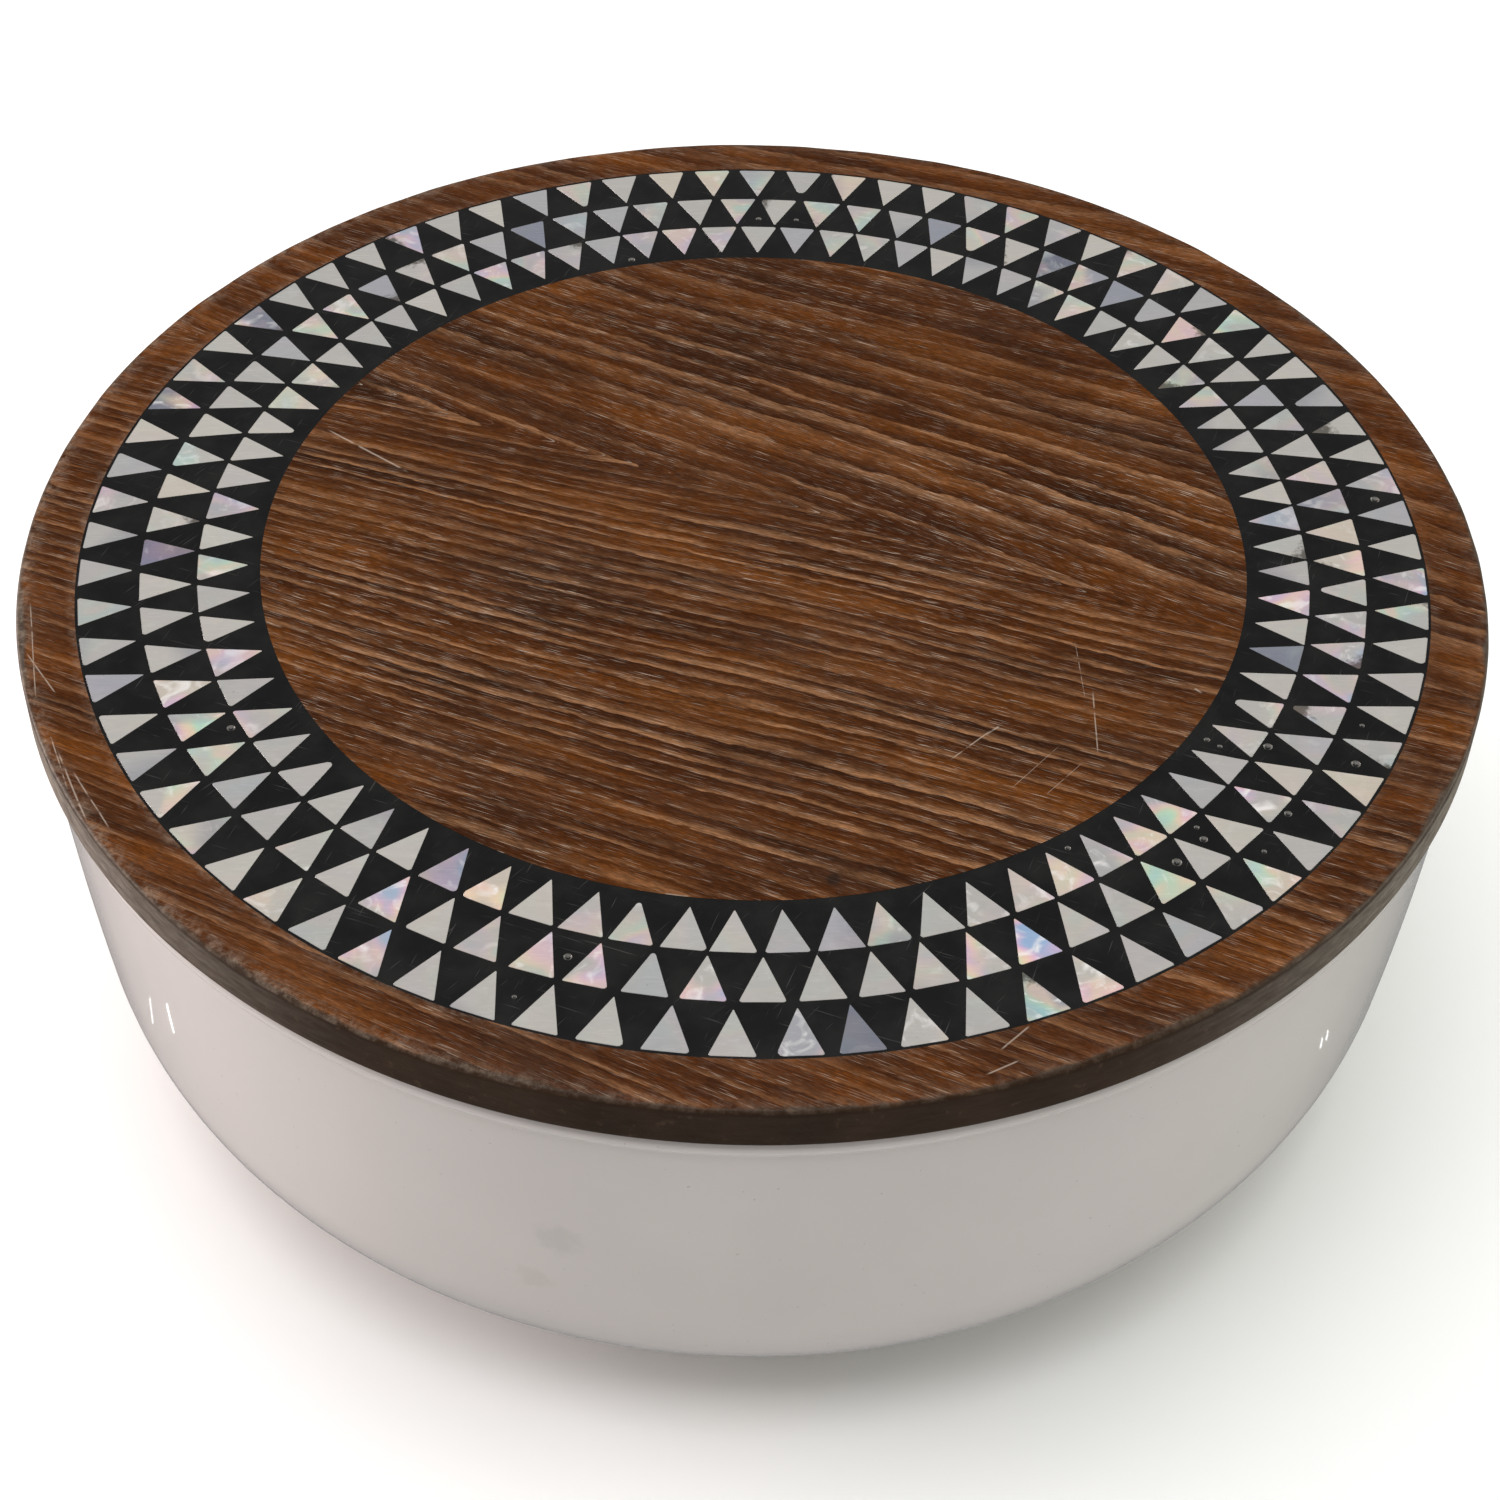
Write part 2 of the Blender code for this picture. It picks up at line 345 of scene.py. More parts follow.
def wood_colour(look):
    """(colour, height) of the brown board: growth rings, fibres and dusty open pores."""
    along, across, count = rings(look)
    ring = look.math("FRACT", count)
    number = look.vector(look.math("FLOOR", count), 0.0)
    other_number = look.moved(number, (0.0, 7.0, 0.0))
    chance = look.node("ShaderNodeTexWhiteNoise", Vector=number).outputs["Value"]
    width = look.node("ShaderNodeTexWhiteNoise", Vector=other_number).outputs["Value"]
    calmer = look.step(look.y, 0.1 * LID_RADIUS, 0.5 * LID_RADIUS, 1.0, 0.62)
    strength = look.times(look.step(chance, 0.0, 0.8, 0.22, 0.92), calmer)
    fading = look.step(streaks(look, along, across, 2.2 * MM, 12 * MM, 21.0), 0.33, 0.60, 0.30, 1.0)
    feather = look.swing(streaks(look, along, across, 0.22 * MM, 2.0 * MM, 61.0), 0.36)
    soft = look.plus(ring, feather)
    rise = look.math("MULTIPLY_ADD", width, 0.5, 0.15)
    pale_line = look.times(look.step(soft, rise, 0.90), look.step(soft, 0.96, 1.04, 1.0, 0.0))
    pale_line = look.times(pale_line, look.times(strength, fading))
    dark_band = look.times(look.step(soft, 0.0, 0.42, 1.0, 0.0), strength)

    broad = streaks(look, along, across, 6 * MM, 30 * MM, 11.0, 3.0)
    fibre = streaks(look, along, across, 0.24 * MM, 3.2 * MM, 5.0, 4.0, 0.65)
    fine = streaks(look, along, across, 0.16 * MM, 0.8 * MM, 15.0, 2.0)
    pores = streaks(look, along, across, 0.13 * MM, 3.6 * MM, 31.0, 1.0)
    open_pores = look.step(pores, 0.635, 0.70)
    dark_pores = look.step(pores, 0.30, 0.40, 1.0, 0.0)
    on_top = look.step(look.radius(), CHANNEL_INNER, CHANNEL_OUTER, 1.0, 0.6)
    dusty = look.times(look.step(look.noise(look.position, 42.0, 3.0, 0.6), 0.36, 0.60, 0.45, 1.0), on_top)
    on_line = look.step(ring, 0.25, 0.65, 0.45, 1.0)
    cool_at = look.vector(look.times(along, 30.0), look.times(across, 175.0), 77.0)
    cool = look.step(look.noise(cool_at, 1.0, 2.0), 0.45, 0.7)

    colour = look.ramp(
        broad, ((0.34, srgb(60, 29, 7)), (0.5, srgb(80, 40, 9)), (0.66, srgb(106, 57, 13)))
    )
    colour = look.tinted(colour, cool, 0.30, srgb(64, 37, 19))
    colour = look.scaled(colour, look.math("MULTIPLY_ADD", dark_band, -0.38, 1.0))
    warm = look.mix(fading, srgb(126, 87, 56), srgb(166, 119, 82))
    colour = look.tinted(colour, pale_line, look.times(on_top, 0.85), warm)
    colour = look.scaled(colour, look.step(fibre, 0.22, 0.78, 0.55, 1.48))
    colour = look.scaled(colour, look.step(fine, 0.25, 0.75, 0.72, 1.28))
    colour = look.scaled(colour, look.math("MULTIPLY_ADD", dark_pores, -0.35, 1.0))
    dashes = look.times(open_pores, look.times(dusty, on_line))
    colour = look.tinted(colour, dashes, 0.70, srgb(208, 190, 172))
    flecks = look.step(streaks(look, along, across, 0.09 * MM, 2.2 * MM, 51.0, 1.5, 0.5), 0.58, 0.74)
    colour = look.tinted(colour, flecks, look.times(dusty, 0.24), srgb(190, 170, 150))
    haze = look.step(look.noise(look.position, 55.0, 4.0, 0.7), 0.46, 0.72)
    colour = look.tinted(colour, haze, 0.03, srgb(170, 146, 126))
    smudge = look.spot((0.106, -0.638, LID_TOP / LID_RADIUS), 1.1 * MM)
    colour = look.tinted(colour, smudge, 0.7, srgb(38, 28, 22))
    share = look.step(look.radius(), CHANNEL_INNER, CHANNEL_OUTER, 0.90 * ALBEDO, 1.03 * ALBEDO)
    colour = look.scaled(colour, share)
    height = look.minus(look.times(fibre, 0.6), look.times(open_pores, 0.8))
    return colour, height


LID_SCRATCHES = (  # ends as shares of the lid's radius, and the width
    ((-0.620, 0.228), (-0.488, 0.129), 0.0022),
    ((-0.580, 0.197), (-0.530, 0.161), 0.0022),
    ((0.446, -0.290), (0.444, -0.412), 0.0013),
    ((0.429, -0.194), (0.435, -0.310), 0.0007),
    ((0.255, -0.427), (0.312, -0.368), 0.0014),
    ((0.301, -0.380), (0.321, -0.362), 0.0018),
    ((0.328, -0.478), (0.397, -0.395), 0.0005),
    ((0.365, -0.495), (0.427, -0.422), 0.0005),
    ((0.580, -0.283), (0.590, -0.293), 0.0022),
    ((-0.879, -0.441), (-0.817, -0.570), 0.0016),
    ((-0.893, -0.414), (-0.852, -0.512), 0.0012),
    ((-0.853, -0.477), (-0.787, -0.580), 0.0014),
    ((-0.954, -0.259), (-0.898, -0.340), 0.0014),
    ((-0.969, -0.156), (-0.923, -0.350), 0.0012),
    ((0.295, -0.902), (0.332, -0.863), 0.0016),
    ((0.276, -0.939), (0.317, -0.916), 0.0016),
    ((-0.101, -0.668), (-0.069, -0.672), 0.0040),
)


def board_look():
    """Brown open-grained wood, with a dark lacquered edge and a worn arris."""
    look = Look("brown_wood_lacquered")
    colour, height = wood_colour(look)
    radius = look.radius()
    from_edge = look.minus(LID_RADIUS, radius)
    from_top = look.minus(LID_TOP, look.z)

    # The lacquer covers the side and the underside, and laps unevenly over the arris.
    ragged = look.plus(
        look.swing(look.noise(look.position, 420.0, 3.0), 0.7 * MM),
        look.times(look.step(look.noise(look.position, 55.0, 3.0), 0.45, 0.75), 0.7 * MM),
    )
    on_edge = look.step(look.minus(from_edge, ragged), 0.05 * MM, 0.60 * MM, 1.0, 0.0)
    below = look.step(from_top, 0.25 * MM, 0.55 * MM)
    edge = look.math("MAXIMUM", on_edge, below)
    lacquer = look.ramp(
        look.noise(look.position, 160.0, 3.0), ((0.3, srgb(41, 26, 14)), (0.7, srgb(53, 37, 24)))
    )
    grit = look.step(look.noise(look.position, 900.0, 3.0), 0.60, 0.75)
    lacquer = look.mix(grit, lacquer, srgb(70, 52, 38))

    # The side is rubbed dull along its length; over the rubs lies a pale painted sheen, strongest at the
    # left and the right, where the side meets the light at a glancing angle.
    turn = look.math("ARCTAN2", look.y, look.x)
    on_side = look.vector(look.times(turn, 26.0), look.times(look.z, 1500.0), look.times(from_edge, 700.0))
    rubs = look.noise(on_side, 1.0, 4.0, 0.65)
    aside = look.math("ABSOLUTE", look.x)
    sheen_at_sides = look.step(aside, 0.40 * LID_RADIUS, 0.95 * LID_RADIUS, 0.12, 2.1)
    past_arris = look.step(from_top, 0.45 * MM, 1.0 * MM, 0.25, 1.0)
    rubs_and_painted_sheen = look.times(look.step(rubs, 0.24, 0.76, 0.35, 1.0), edge)
    rubs_and_painted_sheen = look.times(rubs_and_painted_sheen, look.times(sheen_at_sides, past_arris))
    # Painted sheen: the rubbed side is tinted pale grey, most at the left and the right.
    lacquer = look.tinted(lacquer, rubs_and_painted_sheen, 0.28, srgb(172, 162, 150))

    # Wood shows through at the lower arris.
    bare = look.times(look.step(look.noise(look.position, 220.0, 3.0), 0.35, 0.6, 0.3, 1.0), 0.8)
    low_arris = look.step(look.minus(look.z, LID_LOW), 0.12 * MM, 0.38 * MM, 1.0, 0.0)
    low_arris = look.times(low_arris, look.step(from_edge, 0.4 * MM, 1.0 * MM, 1.0, 0.0))
    lacquer = look.tinted(lacquer, low_arris, bare, srgb(104, 62, 32))
    colour = look.mix(edge, colour, lacquer)

    # The top outside the inlay is frosted by handling near the arris, the edge and the inlay; the pale tint
    # is raised towards the left as a painted sheen.
    off_arris = look.math("ABSOLUTE", look.minus(from_edge, 0.6 * MM))
    near_arris = look.step(off_arris, 0.0, 0.7 * MM, 1.0, 0.0)
    near_edge = look.step(from_edge, 0.4 * MM, 2.6 * MM, 0.75, 0.0)
    near_inlay = look.step(look.minus(radius, CHANNEL_OUTER), 0.0, 1.3 * MM, 0.55, 0.0)
    painted_sheen_at_left = look.step(look.x, -0.8 * LID_RADIUS, 0.1 * LID_RADIUS, 1.0, 0.35)
    frost_and_left_sheen = look.times(look.most([near_arris, near_edge, near_inlay]), painted_sheen_at_left)
    frost_and_left_sheen = look.times(frost_and_left_sheen, look.step(radius, CHANNEL_OUTER - 0.1 * MM, CHANNEL_OUTER))
    rubbed = look.step(look.noise(look.position, 520.0, 6.0, 0.8), 0.40, 0.70)
    rubbed = look.times(look.times(frost_and_left_sheen, rubbed), look.minus(1.0, below))
    # This pale tint is frost from handling, and towards the left also painted sheen.
    colour = look.tinted(colour, rubbed, 0.42, srgb(176, 156, 138))

    scratches = look.most([look.line(*scratch) for scratch in LID_SCRATCHES])
    colour = look.tinted(colour, scratches, 0.45, srgb(192, 176, 160))
    haze = look.times(look.noise(look.position, 34.0, 4.0, 0.6), 0.10)
    roughness = look.plus(look.plus(haze, 0.29), look.times(scratches, 0.2))
    in_pores = look.step(height, 0.0, 0.5, 1.0, 0.0)
    roughness = look.plus(roughness, look.times(in_pores, 0.06))
    roughness = look.plus(roughness, look.times(rubs_and_painted_sheen, 0.25))
    height = look.plus(height, look.times(rubs, look.times(edge, 1.2)))
    return look.finish(colour, roughness, height, 0.35, 0.05 * MM, Specular_IOR_Level=0.075)


def plug_look():
    """The same wood stained dark, as under the lid."""
    look = Look("dark_stained_wood")
    colour, height = wood_colour(look)
    tool_marks = look.noise(look.vector(look.times(look.radius(), 2600.0), 0.0, 0.0), 1.0, 2.0)
    colour = look.mix(0.45, colour, srgb(40, 25, 16))
    colour = look.scaled(colour, look.step(tool_marks, 0.3, 0.7, 0.85, 1.1))
    height = look.plus(height, look.times(tool_marks, 0.4))
    return look.finish(colour, look.plus(look.times(height, 0.1), 0.42), height, 0.3, 0.05 * MM)


RESIN_SCRATCHES = ((0.35, 5200.0), (-0.9, 6400.0), (1.9, 4800.0))  # direction, and how many to a metre


def resin_look():
    """Black resin, sanded flush: fine scratches, dust in the bubbles."""
    look = Look("black_resin_polished")
    scratches = []
    for turn, scale in RESIN_SCRATCHES:
        across = look.plus(look.times(look.x, math.sin(turn)), look.times(look.y, math.cos(turn)))
        along = look.minus(look.times(look.x, math.cos(turn)), look.times(look.y, math.sin(turn)))
        value = look.noise(look.vector(look.times(along, 210.0), look.times(across, scale), turn), 1.0, 1.0)
        scratches.append(look.step(value, 0.71, 0.82))
    scratched = look.most(scratches)
    cloud = look.noise(look.position, 190.0, 4.0, 0.6)
    colour = look.mix(look.step(cloud, 0.35, 0.75), srgb(9, 9, 9), srgb(23, 22, 21))
    colour = look.tinted(colour, scratched, 0.24, srgb(92, 90, 88))
    facing = look.node("ShaderNodeNewGeometry").outputs["True Normal"]
    upward = look.node("ShaderNodeSeparateXYZ", Vector=facing).outputs["Z"]
    dust = look.times(look.step(upward, 0.75, 0.97, 1.0, 0.0), look.step(upward, 0.05, 0.3))
    colour = look.tinted(colour, dust, 0.6, srgb(140, 136, 130))
    roughness = look.plus(look.times(scratched, 0.18), look.plus(look.times(cloud, 0.10), 0.20))
    height = look.minus(look.times(cloud, 0.3), scratched)
    return look.finish(colour, roughness, height, 0.08, 0.02 * MM, Specular_IOR_Level=0.3)


def shell_look():
    """Mother-of-pearl: pale grey, each piece its own tone, some with patches of lustre and painted white
    highlights.
    """
    look = Look("mother_of_pearl_polished")
    tone = look.attribute("piece_tone", "Fac")
    lustre = look.attribute("piece_lustre", "Fac")
    shift = look.attribute("piece_shift", "Vector")
    at = look.moved(look.position, shift)

    base = look.ramp(
        tone,
        (
            (0.00, srgb(84, 88, 104)),
            (0.014, srgb(106, 110, 124)),
            (0.03, srgb(143, 146, 157)),
            (0.07, srgb(167, 167, 171)),
            (0.30, srgb(177, 175, 172)),
            (0.65, srgb(183, 180, 175)),
            (0.92, srgb(191, 187, 179)),
            (1.00, srgb(201, 189, 174)),
        ),
    )
    faded = look.step(look.attribute("piece_fade", "Fac"), 0.0, 1.0, 0.0, 0.7)
    base = look.mix(faded, base, srgb(147, 147, 153))
    waves = look.noise(at, 130.0, 2.0, 0.42, 0.8)
    hues = look.ramp(
        waves,
        (
            (0.30, srgb(152, 180, 216)),
            (0.39, srgb(222, 182, 214)),
            (0.46, srgb(244, 198, 196)),
            (0.53, srgb(240, 214, 180)),
            (0.60, srgb(190, 226, 192)),
            (0.68, srgb(162, 216, 214)),
        ),
    )
    patch = look.step(look.noise(at, 170.0, 2.0, 0.42, 0.5), 0.36, 0.62)
    colour = look.mix(look.times(patch, lustre), base, hues)
    # Painted highlights: near-white patches on the lustrous pieces.
    painted_highlight = look.step(look.noise(at, 330.0, 3.0, 0.5, 1.6), 0.52, 0.72)
    colour = look.tinted(colour, painted_highlight, look.times(lustre, 0.9), srgb(252, 249, 246))

    layered = look.vector(look.times(look.x, 300.0), look.times(look.y, 1500.0), lustre)
    layers = look.noise(layered, 1.0, 2.0, 0.5, 1.5)
    colour = look.scaled(colour, look.step(layers, 0.25, 0.75, 0.975 * ALBEDO, 1.02 * ALBEDO))
    ragged = look.minus(look.noise(look.position, 1700.0, 3.0, 0.6), 0.5)
    smoke = look.step(look.plus(look.attribute("piece_smoke", "Fac"), ragged), 0.0, 0.42)
    specks = look.step(look.noise(at, 2300.0, 2.0), 0.73, 0.80)
    soiled = look.math("MAXIMUM", look.times(specks, 0.35), look.times(smoke, 0.85))
    colour = look.mix(soiled, colour, srgb(62, 56, 48))
    colour = look.tinted(colour, look.attribute("piece_rim", "Fac"), 0.6, srgb(64, 60, 54))
    roughness = look.step(layers, 0.2, 0.8, 0.18, 0.30)
    return look.finish(
        colour,
        roughness,
        layers,
        0.10,
        0.02 * MM,
        Specular_IOR_Level=0.45,
        Coat_Weight=0.2,
        Coat_Roughness=0.12,
    )


GLAZE_MARKS = (  # faint darker patches on the front: centre as shares of the lid's radius, size and colour
    ((-0.222, -0.949, 0.452), 3.4 * MM, srgb(96, 104, 104)),
    ((-0.255, -0.933, 0.349), 2.6 * MM, srgb(150, 128, 84)),
)


def glaze_look():
    """White glaze over porcelain, bare on the foot ring's face."""
    look = Look("white_glazed_porcelain")
    cloud = look.noise(look.position, 26.0, 3.0, 0.55)
    colour = look.mix(look.step(cloud, 0.3, 0.7), srgb(204, 197, 193), srgb(209, 202, 198))
    pin = look.step(look.noise(look.position, 1700.0, 1.0), 0.775, 0.80)
    colour = look.tinted(colour, pin, 0.35, srgb(120, 112, 100))
    smear = look.step(look.noise(look.position, 60.0, 5.0, 0.68), 0.66, 0.78)
    colour = look.tinted(colour, smear, 0.10, srgb(150, 146, 138))
    for centre, size, tint in GLAZE_MARKS:
        colour = look.tinted(colour, look.spot(centre, size), 0.11, tint)
    edge = look.swing(look.noise(look.position, 260.0, 3.0), 0.5 * MM)
    bare = look.step(look.plus(look.z, edge), 0.32 * MM, 0.46 * MM, 1.0, 0.0)
    grit = look.noise(look.position, 5200.0, 3.0)
    biscuit = look.mix(look.step(grit, 0.35, 0.7), srgb(196, 184, 168), srgb(216, 206, 192))
    colour = look.mix(bare, colour, biscuit)
    ripple = look.noise(look.position, 75.0, 2.0)
    roughness = look.plus(look.plus(look.times(smear, 0.12), 0.055), look.times(bare, 0.55))
    height = look.plus(ripple, look.times(look.times(grit, bare), 0.5))
    return look.finish(
        colour,
        roughness,
        height,
        0.04,
        0.2 * MM,
        Specular_IOR_Level=0.5,
        Coat_Weight=0.15,
        Coat_Roughness=0.04,
    )


# ---------------------------------------------------------------- shapes


def arc(centre, radius, start, end, steps):
    """Points (r, z) on an arc, by angles in degrees, where 0 points outwards and 90 points up."""
    points = []
    for i in range(steps + 1):
        angle = math.radians(start + (end - start) * i / steps)
        points.append((centre[0] + radius * math.cos(angle), centre[1] + radius * math.sin(angle)))
    return points


def between(start, end, steps, bulge=0.0):
    """Points between two profile points, pushed outwards by a parabola, without the two ends."""
    points = []
    for i in range(1, steps):
        u = i / steps
        r = start[0] + (end[0] - start[0]) * u + 4 * bulge * u * (1 - u)
        points.append((r, start[1] + (end[1] - start[1]) * u))
    return points


def through(corners, steps):
    """A profile through corner points, with steps - 1 points added between each two."""
    points = [corners[0]]
    for start, end in zip(corners, corners[1:]):
        points += between(start, end, steps) + [end]
    return points


def lathe(name, profile, steps, vary=None):
    """A turned mesh. vary(r, z, angle) gives a point's own r and z, for wear and for hand work."""
    bm = bmesh.new()
    columns = []
    for step in range(steps):
        angle = 2 * math.pi * step / steps
        column = []
        for r, z in profile:
            if vary:
                r, z = vary(r, z, angle)
            column.append(bm.verts.new((r * math.cos(angle), r * math.sin(angle), z)))
        columns.append(column)
    for step in range(steps):
        left, right = columns[step], columns[(step + 1) % steps]
        for i in range(len(profile) - 1):
            bm.faces.new((left[i], left[i + 1], right[i + 1], right[i]))
    bmesh.ops.remove_doubles(bm, verts=bm.verts, dist=1e-7)
    bmesh.ops.recalc_face_normals(bm, faces=bm.faces)
    return add(name, smooth(mesh_of(bm, name)))


def mesh_of(bm, name):
    mesh = bpy.data.meshes.new(name)
    bm.to_mesh(mesh)
    bm.free()
    return mesh


def smooth(mesh):
    mesh.shade_smooth()
    mesh.set_sharp_from_angle(angle=SHARP_ANGLE)
    return mesh


def add(name, data):
    obj = bpy.data.objects.new(name, data)
    bpy.context.scene.collection.objects.link(obj)
    return obj


def place(obj, node, body, slot, material):
    obj.data.materials.clear()
    obj.data.materials.append(material)
    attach(obj, body)
    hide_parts(node)


def ring_noise(angle, per_turn, seed):
    """Smooth noise round a circle, about -1 to 1, with per_turn waves in it."""
    scale = per_turn / (2 * math.pi)
    return noise.noise(Vector((scale * math.cos(angle), scale * math.sin(angle), seed)))


def make_bowl():
    floor = FOOT_HEIGHT + FLOOR_THICKNESS
    corner_height = FOOT_HEIGHT + CORNER_RADIUS
    inner_corner = CORNER_RADIUS - WALL
    rim_middle = RIM - LIP_ROUNDING
    neck = (NECK_RADIUS, RIM - NECK_DROP)
    run, rise = NECK_RADIUS - CORNER_CENTRE, neck[1] - corner_height
    tangent = math.degrees(math.atan2(rise, run) - math.acos(CORNER_RADIUS / math.hypot(run, rise)))
    outer_arc = arc((CORNER_CENTRE, corner_height), CORNER_RADIUS, tangent, -90, 24)
    inner_arc = arc((CORNER_CENTRE, floor + inner_corner), inner_corner, -90, tangent, 20)
    mouth = NECK_RADIUS - WALL
    rim_outer = (LIP_RADIUS - LIP_ROUNDING, rim_middle)
    lip_end = -math.degrees(math.acos((NECK_RADIUS - rim_outer[0]) / LIP_ROUNDING))

    profile = [(0.0, floor)] + between((0.0, floor), inner_arc[0], 8) + inner_arc
    profile += between(inner_arc[-1], (mouth, neck[1]), 10) + [(mouth, neck[1])]
    profile += arc((mouth + LIP_ROUNDING, rim_middle), LIP_ROUNDING, 180, 90, 6)
    profile += arc(rim_outer, LIP_ROUNDING, 90, lip_end, 12)
    # The lip runs into the wall through a small hollow.
    hollow = (NECK_RADIUS - HOLLOW_DEPTH, RIM - HOLLOW_PLACE * NECK_DROP)
    profile += [hollow, neck]
    profile += between(neck, outer_arc[0], 16, WALL_BULGE) + outer_arc
    profile += foot_profile()

    def vary(r, z, angle):
        """A cast and fired wall is never quite true; the foot and the rim were ground level."""
        if r == 0.0 or z < LEVEL_FOOT or z > RIM - LEVEL_RIM:
            return r, z
        wobble = BOWL_WOBBLE * ring_noise(angle, BOWL_WAVES, 40 * z)
        return r - BOWL_WOBBLE + wobble, z

    return lathe("bowl_body", profile, BOWL_STEPS, vary)


def foot_profile():
    """From the end of the rounded corner down round the foot ring and in to the recess's middle."""
    inner = FOOT_RADIUS - FOOT_WIDTH
    root = (FOOT_RADIUS + FOOT_ROUNDING, FOOT_HEIGHT - FOOT_ROUNDING / 4)
    points = between((CORNER_CENTRE, FOOT_HEIGHT), root, 4) + [root]
    fillet = (FOOT_RADIUS + FOOT_ROUNDING, FOOT_HEIGHT - 1.2 * FOOT_ROUNDING)
    points += arc(fillet, FOOT_ROUNDING, 100, 180, 4)
    points += arc((FOOT_RADIUS - FOOT_ROUNDING, FOOT_ROUNDING), FOOT_ROUNDING, 0, -90, 5)
    points += arc((inner + FOOT_ROUNDING, FOOT_ROUNDING), FOOT_ROUNDING, -90, -180, 5)
    points += [(inner, FOOT_HEIGHT - FOOT_ROUNDING)]
    hollow = arc((inner - FOOT_ROUNDING, FOOT_HEIGHT - FOOT_ROUNDING), FOOT_ROUNDING, 0, 90, 5)
    points += hollow[1:]
    points += between(hollow[-1], (0.0, FOOT_HEIGHT + RECESS_RISE), 8) + [(0.0, FOOT_HEIGHT + RECESS_RISE)]
    return points


def make_lid_board():
    low, high = LID_LOW, LID_TOP
    channel = high - CHANNEL_DEPTH
    top = [
        (0.0, high),
        (CHANNEL_INNER, high),
        (CHANNEL_INNER, channel),
        (CHANNEL_OUTER, channel),
        (CHANNEL_OUTER, high),
    ]
    profile = through(top, 6)
    profile += between(top[-1], (LID_RADIUS - ARRIS, high), 6)
    profile += arc((LID_RADIUS - ARRIS, high - ARRIS), ARRIS, 90, 0, 8)
    profile += between((LID_RADIUS, high - ARRIS), (LID_RADIUS, low + ARRIS), 6)
    profile += arc((LID_RADIUS - ARRIS, low + ARRIS), ARRIS, 0, -90, 8)
    profile += between((LID_RADIUS - ARRIS, low), (0.0, low), 10) + [(0.0, low)]

    def vary(r, z, angle):
        """The arris is rubbed down more in some places than in others."""
        past = r - (LID_RADIUS - 2 * ARRIS)
        if past <= 0 or z < (low + high) / 2:
            return r, z
        worn = max(0.0, 0.35 + 0.9 * ring_noise(angle, 22.0, 5.0) + 0.5 * ring_noise(angle, 90.0, 9.0))
        share = past / (2 * ARRIS) * max(0.0, 1 - (high - z) / (4 * ARRIS))
        lost = 0.5 * ARRIS_VARIES * worn * share
        return r - lost, z - lost

    return lathe("lid_board_wood", profile, LID_STEPS, vary)


def make_lid_plug():
    low, high = PLUG_LOW, PLUG_HIGH
    profile = through([(0.0, high), (PLUG_RADIUS, high)], 6)
    profile += between((PLUG_RADIUS, high), (PLUG_RADIUS, low + PLUG_ROUNDING), 4)
    profile += arc((PLUG_RADIUS - PLUG_ROUNDING, low + PLUG_ROUNDING), PLUG_ROUNDING, 0, -90, 8)
    middle = PLUG_RADIUS - GROOVE_PLACE
    groove_end = (middle - GROOVE_RADIUS, low)
    groove = arc((middle, low), GROOVE_RADIUS, 0, 180, 8)
    profile += [(middle + GROOVE_RADIUS, low)] + groove[1:-1] + [groove_end]
    profile += between(groove_end, (0.0, low), 10) + [(0.0, low)]
    return lathe("lid_plug_wood", profile, LID_STEPS)


def triangle_angles():
    """The angle of each triangle in a row with no turn: the pieces crowd together at the back."""
    pitch = 2 * math.pi / TRIANGLES_PER_ROW
    first = math.cos(FIRST_TRIANGLE - SPREAD_TOWARDS)
    angles = []
    for i in range(TRIANGLES_PER_ROW + 1):
        even = FIRST_TRIANGLE + i * pitch
        angles.append(even + SPREAD * pitch * (math.cos(even - SPREAD_TOWARDS) - first))
    return angles


def rounded_outline(corners, roundings, steps=3):
    """A triangle's outline, anticlockwise, each corner on an arc of its own radius."""
    outline = []
    for i, corner in enumerate(corners):
        to_last = (corners[i - 1] - corner).normalized()
        to_next = (corners[(i + 1) % 3] - corner).normalized()
        half = to_last.angle(to_next) / 2
        middle = (to_last + to_next).normalized()
        centre = corner + middle * roundings[i] / math.sin(half)
        start = corner + to_last * roundings[i] / math.tan(half) - centre
        turn = math.pi - 2 * half
        for step in range(steps + 1):
            spun = Matrix.Rotation(turn * step / steps, 2) @ start
            outline.append(centre + spun)
    return outline


def triangle_outline(draw, room, tip, foot):
    """(outline, height) of a triangle on the X axis, filed a little unlike the others."""
    base = min(TRIANGLE_BASE, room * WIDEST_SHARE_OF_PITCH) * draw.uniform(0.95, 1.0)
    height = (foot - tip) * draw.uniform(0.965, 1.0)
    out = foot - draw.uniform(0.0, 0.012) * (foot - tip)
    lean = draw.gauss(0, 0.03) * base
    corners = [
        Vector((out, base / 2 * draw.uniform(0.97, 1.0))),
        Vector((out - height, lean)),
        Vector((out, -base / 2 * draw.uniform(0.97, 1.0))),
    ]
    shares = (draw.uniform(0.10, 0.30), draw.uniform(0.03, 0.09), draw.uniform(0.10, 0.30))
    roundings = [share * MM for share in shares]
    if draw.random() < CHIPPED_SHARE:
        roundings[draw.randrange(3)] = draw.uniform(0.25, 0.6) * MM
    return rounded_outline(corners, roundings), height


